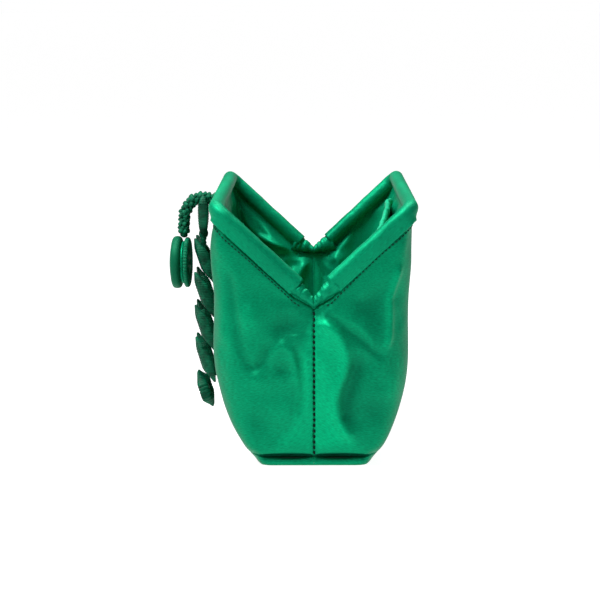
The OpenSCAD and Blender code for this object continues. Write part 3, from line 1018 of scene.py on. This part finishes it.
CORD_ROUTE = [[-56, 0, 130.5], [-58, 0, 131.2], [-60.2, 0, 131.8], [-62.5, 0, 132.1],
              [-64.8, 0, 131.8], [-67, 0, 130.8], [-69, 0, 129.2], [-70.6, 0, 127.2],
              [-71.8, 0, 124.8], [-72.5, 0, 122.2], [-72.9, 0, 119.6], [-73, 0, 117],
              [-73.1, 0, 114.6], [-73, 0, 112.3]]


def make_cord():
    """Four strands plaited round one another, two each way."""
    count = 260
    path = curve_through(CORD_ROUTE, count)
    tangent = unit(np.gradient(path, axis=0))
    a = unit(np.cross(tangent, [0, 1, 0]))
    b = np.tile([0.0, 1.0, 0.0], (count, 1))
    run = run_of(path)
    pitch = 9.0
    ends = 0.8 + 0.2 * smooth(np.minimum(run, run[-1] - run) / 1.5)
    parts = []
    for k in range(4):
        way = 1 if k % 2 else -1
        angle = way * 2 * math.pi * run / pitch + k * math.pi / 2
        radius = (1.25 + 0.4 * np.sin(4 * math.pi * run / pitch + k * math.pi)) * ends
        line = path + (radius * np.cos(angle))[:, None] * a + (radius * np.sin(angle))[:, None] * b
        t = round_turn(12)
        swell = (1.4 * ends)[:, None] * (1 + 0.05 * np.sin(5 * t[None] + 6 * run[:, None]))
        ring = np.stack([swell * np.cos(t), swell * np.sin(t)], -1)
        parts.append(tube_data(line, (0.3, 1, 0.1), ring))
    rng = np.random.default_rng(41)
    steps = np.arange(1.2, run[-1] - 0.4, 2.15)
    for row, d in enumerate(steps):
        at = [at_run(d, run, q) for q in (path, a, tangent)]
        for k in range(5):
            angle = (k + 0.5 * (row % 2)) * 2 * math.pi / 5 + rng.normal(0, 0.12)
            way = math.cos(angle) * at[1] + math.sin(angle) * b[0]
            place = at[0] + (2.3 + rng.normal(0, 0.12)) * way + rng.normal(0, 0.15) * at[2]
            size = 1.34 + rng.normal(0, 0.1)
            parts.append(ball_data(place, (size, size * 1.12, size), 3, 0.12, rows=7, cols=10))
    return add_piece("braided_cord_strands", join_data(parts), "braided_cord", "braided_cord",
                     "front_frame_body")


def make_anchor():
    """The bound stub where the cord leaves the casing."""
    start = np.array([-BAR_X, 0, BAR_Z])
    out = unit(np.array(CORD_ROUTE[0]) - start)
    stub = start + np.linspace(3.8, 7.0, 30)[:, None] * out
    turns = 1 + 0.07 * np.sin(np.linspace(0, 7 * math.pi, 30))
    data = tube_data(stub, (0, 1, 0), circle(3.0, 16)[None] * turns[:, None, None])
    add_piece("cord_binding", data, "braided_cord", "cord_anchor", "front_frame_body")


def lid_faces(rows, cols):
    return [list(range(cols)), [(rows - 1) * cols + j for j in range(cols)][::-1]]


def ball_data(centre, radii, ridges=0, depth=0.0, rows=14, cols=28):
    """A small knot: a ball with slanting strand ridges."""
    u = np.linspace(0.02, math.pi - 0.02, rows)
    v = round_turn(cols)
    uu, vv = np.meshgrid(u, v, indexing="ij")
    k = 1 + depth * np.sin(ridges * vv + 3 * uu)
    p = np.stack([np.sin(uu) * np.cos(vv), np.sin(uu) * np.sin(vv), np.cos(uu)], -1)
    p = p * k[..., None] * np.array(radii) + np.array(centre)
    faces = grid_faces(rows, cols, ring=True) + lid_faces(rows, cols)
    uv = np.stack([uu, vv], -1).reshape(-1, 2) * 2
    return p.reshape(-1, 3), faces, uv


def lathe_data(profile, centre, axis, cols=96, ridge=None):
    """Profile points (distance along the axis, radius) turned round an axis.

    ridge(t, a, r) alters the distance and the radius at the angle t."""
    axis = unit(axis)
    u = unit(np.cross(axis, [0, 0, 1]))
    w = np.cross(axis, u)
    profile = np.asarray(profile, float)
    t = round_turn(cols)
    rows = len(profile)
    a = np.repeat(profile[:, :1], cols, 1)
    r = np.repeat(profile[:, 1:], cols, 1)
    tt = np.repeat(t[None], rows, 0)
    if ridge is not None:
        a, r = ridge(tt, a, r)
    p = (np.array(centre) + a[..., None] * axis
         + (r * np.cos(tt))[..., None] * u + (r * np.sin(tt))[..., None] * w)
    faces = grid_faces(rows, cols, ring=True, flip=True) + lid_faces(rows, cols)
    uv = np.stack([tt * 12, np.cumsum(np.ones_like(a), 0)], -1).reshape(-1, 2)
    return p.reshape(-1, 3), faces, uv


def rounded_rim(radius, low, high, rim, steps=8):
    """Half profile of a disc from its low face to its high face, with a rounded rim."""
    low_rim = [(low + rim - rim * math.cos(a), radius - rim + rim * math.sin(a))
               for a in np.linspace(0, math.pi / 2, steps)]
    high_rim = [(high - rim + rim * math.sin(a), radius - rim + rim * math.cos(a))
                for a in np.linspace(0, math.pi / 2, steps)]
    return low_rim, high_rim


def make_button():
    shell_low, shell_high = box_mm("button_shell")
    radius = (shell_high[2] - shell_low[2]) / 2
    centre_z = (shell_high[2] + shell_low[2]) / 2
    turn = math.radians(-4)
    axis = np.array([math.cos(turn), math.sin(turn), 0])
    hub = np.array([-73.0, 0, centre_z])
    face, rim_far = -6.5, -1.3
    low_rim, high_rim = rounded_rim(radius, face, rim_far, 2.2)
    dome = [(face - 1.5 * (1 - (r / (radius - 2.2)) ** 2), r)
            for r in np.linspace(0.3, radius - 2.6, 9)]
    pulls = make_waves(31, 30, 6, 16)

    def gathers(t, a, r):
        back = smooth((a + 2.6) / 1.2)
        return a, r + back * 0.16 * np.sin(34 * t) + 0.05 * pulls(np.stack([a, r, 6 * t], -1))
    cover = dome + low_rim + high_rim + [(rim_far + 0.02, radius - 4)]
    shell = lathe_data(cover, hub, axis, 128, gathers)
    back_edge = [(-1.3, 0.3), (-1.3, 11.2), (-1.15, 11.7), (-0.1, 12.0), (0.15, 11.7), (0.2, 11),
                 (0.2, 0.3)]
    backing = lathe_data(back_edge, hub, axis, 96)
    low_rim, high_rim = rounded_rim(14.0, 0.6, 3.2, 1.25)

    def winding(t, a, r):
        lift = np.abs(np.sin(24 * t)) ** 0.6 * smooth((r - 3) / 6)
        middle = 1.9
        on_rim = r + 0.5 * lift * smooth((r - 11) / 2) - 0.3
        return a + np.sign(a - middle) * 0.2 * lift * smooth((14 - r) / 3), on_rim
    rings_low = [(0.6, r) for r in np.linspace(1.6, 12.4, 8)]
    rings_high = [(3.2, r) for r in np.linspace(12.4, 1.6, 8)]
    disc = lathe_data(rings_low + low_rim + high_rim + rings_high, hub, axis, 520, winding)
    shank = [tube_data(hub + np.linspace(0.1, 3.8, 12)[:, None] * axis, (0, 0, 1), circle(1.2, 14)),
             ball_data(hub + 3.7 * axis, (0.9, 1.5, 1.5), 5, 0.08)]
    knot = ball_data(node_centre("hang_knot"), (2.1, 2.1, 1.6), 5, 0.1)
    return [add_piece("button_cover", shell, "covered_button", "button_shell", "button"),
            add_piece("button_backing", backing, "lining_satin", "button_back", "button"),
            # the wound disc takes the lighter thread copy, a painted highlight
            add_piece("wound_disc", disc, "wrapped_thread", "wrapped_disc", "button", DISC_THREAD_PAINTED_HIGHLIGHT),
            add_piece("button_shank_thread", join_data(shank), "sewing_thread", "button_shank", "button",
                      WOUND),
            add_piece("cord_knot", knot, "sewing_thread", "hang_knot", "knot", CORD)]


# ---------------------------------------------------------------- strap

# how the links lean out from the front, and how far each is rolled in its strand, in degrees
LINK_LEAN = math.radians(18)
LINK_TURN = [5, 2, -3, -8]
STRAP_X = -62.0
# the pointed links: turned on their length, slanted, half a length, and set in towards the front
LEAF_TURN = math.radians(10)
LEAF_SLANT = 0.3
LEAF_HALF = 13.6
LEAF_IN = 1.0
LINK_HALF_W = 6.5
LINK_LIMB = 4.2
# the link across the end of the strap
END_HALF = 10.8
END_HALF_W = 7.5
END_STRETCH = -END_HALF / END_HALF_W
END_LIMB = 5.2
LIMB_T = 6.0
STEPS_PER_WIND = 5


def stadium_path(half_len, half_w, count):
    """Even points round a long ring with round ends, in (across, up)."""
    straight = 2 * (half_len - half_w)
    arc = math.pi * half_w
    total = 2 * (straight + arc)
    points = []
    for d in np.linspace(0, total, count, endpoint=False):
        if d < straight:
            points.append((half_w, -straight / 2 + d))
        elif d < straight + arc:
            a = (d - straight) / half_w
            points.append((half_w * math.cos(a), straight / 2 + half_w * math.sin(a)))
        elif d < 2 * straight + arc:
            points.append((-half_w, straight / 2 - (d - straight - arc)))
        else:
            a = math.pi + (d - 2 * straight - arc) / half_w
            points.append((half_w * math.cos(a), -straight / 2 + half_w * math.sin(a)))
    return np.array(points), total


def leaf(p, half_len, half_t):
    """Draws a link to a point at each end: the lower one to the right, the upper one to the left."""
    end = smooth((np.abs(p[:, 2]) - half_len * 0.35) / (half_len * 0.65))
    k = 1 - 0.72 * end
    x = p[:, 0] * k - np.sign(p[:, 2]) * half_t * 0.5 * (1 - k)
    return np.stack([x, p[:, 1] * (0.55 + 0.45 * k), p[:, 2]], 1)


def wound_ring(half_len, half_w, limb_w, limb_t, place, pitch=0.95):
    """A ring wound with thread: the limb's section swells at each turn of the thread."""
    count = int((4 * (half_len - half_w) + 2 * math.pi * half_w) / pitch) * STEPS_PER_WIND
    flat, total = stadium_path(half_len, half_w, count)
    turns = round(total / pitch)
    path = np.stack([np.zeros(len(flat)), flat[:, 0], flat[:, 1]], 1)
    t = round_turn(18)
    phase = np.arange(len(flat)) / len(flat) * turns * math.pi
    swell = 1 + 0.18 * (np.abs(np.sin(phase)) ** 0.6 - 0.8)
    # a rounded rectangle, its flat faces across the ring's thickness
    c, s = np.cos(t), np.sin(t)
    shape = np.stack([np.sign(c) * np.abs(c) ** 0.6 * limb_t / 2,
                      np.sign(s) * np.abs(s) ** 0.6 * limb_w / 2], 1)
    v, f, uv = tube_data(path, (1, 0, 0), swell[:, None, None] * shape[None], ring=True)
    return place(v), f, uv * [1.0, 0.6]


def link_place(centre, roll, turn, slant):
    """How a link's points are drawn to a leaf, turned, slanted, rolled, leaned and set in place."""
    cr, sr = math.cos(roll), math.sin(roll)
    cl, sl = math.cos(LINK_LEAN), math.sin(LINK_LEAN)
    ct, st = math.cos(turn), math.sin(turn)

    def place(p):
        if roll > 1:
            p = leaf(p[:, [0, 2, 1]] * [1, 1, END_STRETCH], END_HALF, 2.7)[:, [0, 2, 1]]
        else:
            p = leaf(p, LEAF_HALF, 2.7)
        p = np.stack([p[:, 0] * ct - p[:, 1] * st, p[:, 0] * st + p[:, 1] * ct, p[:, 2]], 1)
        p[:, 2] -= slant * p[:, 0]
        y = p[:, 1] * cr - p[:, 2] * sr
        z = p[:, 1] * sr + p[:, 2] * cr
        x = p[:, 0] * cl - z * sl
        z = p[:, 0] * sl + z * cl
        return np.stack([x, y, z], 1) + np.array(centre)
    return place


def make_strap():
    for end in (NEAR, FAR):
        for i in range(4):
            node = "%s_link_%d" % (END_NAME[end], i + 1)
            roll = math.radians(-end * LINK_TURN[i])
            place = link_place(node_centre(node) + [LEAF_IN, 0, 0], roll, LEAF_TURN, LEAF_SLANT)
            data = wound_ring(LEAF_HALF - 2.15, LINK_HALF_W - 2.15, LINK_LIMB, LIMB_T, place)
            add_piece(node + "_wound", data, "wrapped_thread", node, "strap")
    place = link_place(node_centre("end_link") + [LEAF_IN / 2, 0, 0], math.pi / 2, 0.0, LEAF_SLANT)
    data = wound_ring(13 - 2.65, END_HALF_W - 2.65, END_LIMB, LIMB_T, place)
    add_piece("end_link_wound", data, "wrapped_thread", "end_link", "strap")
    # the long ring on the frame
    low, high = box_mm("strap_ring")
    middle = (low + high) / 2
    half_len = (high[2] - low[2]) / 2 - 1.6
    half_w = (high[1] - low[1]) / 2 - 1.6

    def hang_from_cord(p):
        """Draws the ring to a point below, and to a snug bight where it passes over the cord."""
        up = smooth((p[:, 2] - 3) / 7)
        limb = 0.4 + 1.5 * np.sqrt(np.maximum(1 - (p[:, 2] / (half_len + 0.4)) ** 2, 0))
        return np.stack([p[:, 0] * limb, p[:, 1], p[:, 2] - 4.0 * up], 1) + middle
    data = wound_ring(half_len, half_w, 3.1, 3.1, hang_from_cord, pitch=0.9)
    add_piece("strap_ring_wound", data, "wrapped_thread", "strap_ring", "strap_hanger")
    # thread loop round the ring's foot and its tongue
    foot_z = 111.6
    tongue_z = np.linspace(foot_z - 2.4, box_mm("strap_tie")[0][2] + 0.3, 24)
    ripple = 1 + 0.12 * np.sin(np.linspace(0, 9 * math.pi, 24))
    t = round_turn(60)
    parts = []
    for k in (-0.85, 0, 0.85):
        loop = np.stack([STRAP_X + 1.4 * np.cos(t), np.full_like(t, k), foot_z + 1.7 * np.sin(t)], 1)
        parts.append(tube_data(loop, (0, 1, 0), circle(1, 10) * [0.55, 1.3], ring=True))
        tongue = np.stack([np.full(24, STRAP_X), np.full(24, k), tongue_z], 1)
        ribbon = circle(1, 10)[None] * [1.5, 0.5] * ripple[:, None, None]
        parts.append(tube_data(tongue, (1, 0, 0), ribbon))
    add_piece("strap_tie_threads", join_data(parts), "sewing_thread", "strap_tie", "strap", WOUND)
    # threads that tie each link to the next
    parts = []
    way = np.array([math.cos(LINK_LEAN), 0, math.sin(LINK_LEAN)])
    for end in (NEAR, FAR):
        for i in range(3):
            a, b = [node_centre("%s_link_%d" % (END_NAME[end], i + k)) for k in (1, 2)]
            mid = (a + b) / 2 + [0, end * 3.9, 0]
            for lift in (-0.9, 0, 0.9):
                line = mid + [0, 0, lift] + np.linspace(-1, 1, 8)[:, None] * way * 1.2
                parts.append(tube_data(line, (0, 1, 0), circle(0.5, 8)))
    add_piece("link_tie_threads", join_data(parts), "sewing_thread", "link_ties", "strap", WOUND)


# ---------------------------------------------------------------- build

# camera first: it stands level with the near end, a little above the mouth
camera_data = bpy.data.cameras.new("camera")
camera = bpy.data.objects.new("camera", camera_data)
bpy.context.scene.collection.objects.link(camera)
camera_data.sensor_width = 36
camera_data.lens = 132.9
pitch, yaw, roll = math.radians(7.64), math.radians(0.35), math.radians(-0.19)
camera.location = (-0.1 * MM, -1244 * MM, 240.4 * MM)
camera.rotation_euler = (Matrix.Rotation(yaw, 3, "Z") @ Matrix.Rotation(math.pi / 2 - pitch, 3, "X")
                         @ Matrix.Rotation(roll, 3, "Z")).to_euler()
camera_data.clip_end = 60
bpy.context.scene.camera = camera

cord = make_cord()
make_anchor()
button_pieces = make_button()
shells = {side: make_shell(side) for side in (FRONT, BACK)}
linings = {side: make_lining(side) for side in (FRONT, BACK)}
for side in (FRONT, BACK):
    swing_blend(shells[side])
    swing_blend(linings[side])
    make_casing(side)
    make_topstitch(side)
slip = make_slip_pocket()
gathered = make_gathered_pocket()
for end in (NEAR, FAR):
    make_end_stitches(end)
    make_gusset(end)
    for side in (FRONT, BACK):
        make_gathers(end, side)
make_strap()

# hard pieces of the frame that stay in sight of some views
for node, material in (("front_frame", STEEL), ("back_frame", STEEL), ("base_board", BOARD)):
    mesh = frame["nodes"][node].data
    mesh.materials.clear()
    mesh.materials.append(material)

# the cord's route as 24 points, in metres
cord_path = [tuple(q) for q in (curve_through(CORD_ROUTE, 24) * MM).tolist()]


# ---------------------------------------------------------------- studio

def emitter(name, colour, strength, size, place, target):
    data = bpy.data.lights.new(name, "AREA")
    data.shape = "RECTANGLE"
    data.size, data.size_y = size
    data.energy = strength
    data.color = colour
    obj = bpy.data.objects.new(name, data)
    obj.location = place
    way = Vector(target) - Vector(place)
    obj.rotation_euler = way.to_track_quat("-Z", "Y").to_euler()
    bpy.context.scene.collection.objects.link(obj)


FLOOR_HALF = 90000
floor_corners = [[-FLOOR_HALF, -FLOOR_HALF, 0], [FLOOR_HALF, -FLOOR_HALF, 0],
                 [FLOOR_HALF, FLOOR_HALF, 0], [-FLOOR_HALF, FLOOR_HALF, 0]]
floor = new_object("studio_floor", floor_corners, [[0, 1, 2, 3]])
white = bpy.data.materials.new("studio_white")
white.use_nodes = True
shade = white.node_tree.nodes["Principled BSDF"]
shade.inputs["Base Color"].default_value = (0.25, 0.25, 0.25, 1)
shade.inputs["Roughness"].default_value = 0.9
shade.inputs["Emission Color"].default_value = (1, 1, 1, 1)
tree = white.node_tree
place = add(tree, "TexCoord").outputs["Object"]
length = add(tree, "SeparateXYZ", place).outputs["Y"]
# white where the camera sees the floor, dimmer in front of that: the satin has a dark to reflect
dim = add(tree, "MapRange", length, "Value", From_Min=-0.66, From_Max=-0.37, To_Min=0.42, To_Max=0.96)
dim.interpolation_type = "SMOOTHSTEP"
tree.links.new(dim.outputs["Result"], shade.inputs["Emission Strength"])
floor.data.materials.append(white)
floor.location.z = -0.0002

world = bpy.data.worlds.new("studio")
world.use_nodes = True
sky = world.node_tree
height = add(sky, "SeparateXYZ", add(sky, "TexCoord").outputs["Generated"]).outputs["Z"]
background = sky.nodes["Background"].inputs
background["Color"].default_value = (1, 1, 1, 1)
sky.links.new(remap(sky, height, 1.0, 0.10, 0.02, 0.12), background["Strength"])
bpy.context.scene.world = world
emitter("key", (1, 1, 1), 22, (0.6, 0.6), (-0.45, -0.35, 1.1), (0, 0, 0.08))
emitter("top", (1, 1, 1), 10, (0.9, 0.4), (0.1, 0.35, 1.1), (0, 0, 0.1))
bpy.context.scene.view_settings.view_transform = "Standard"
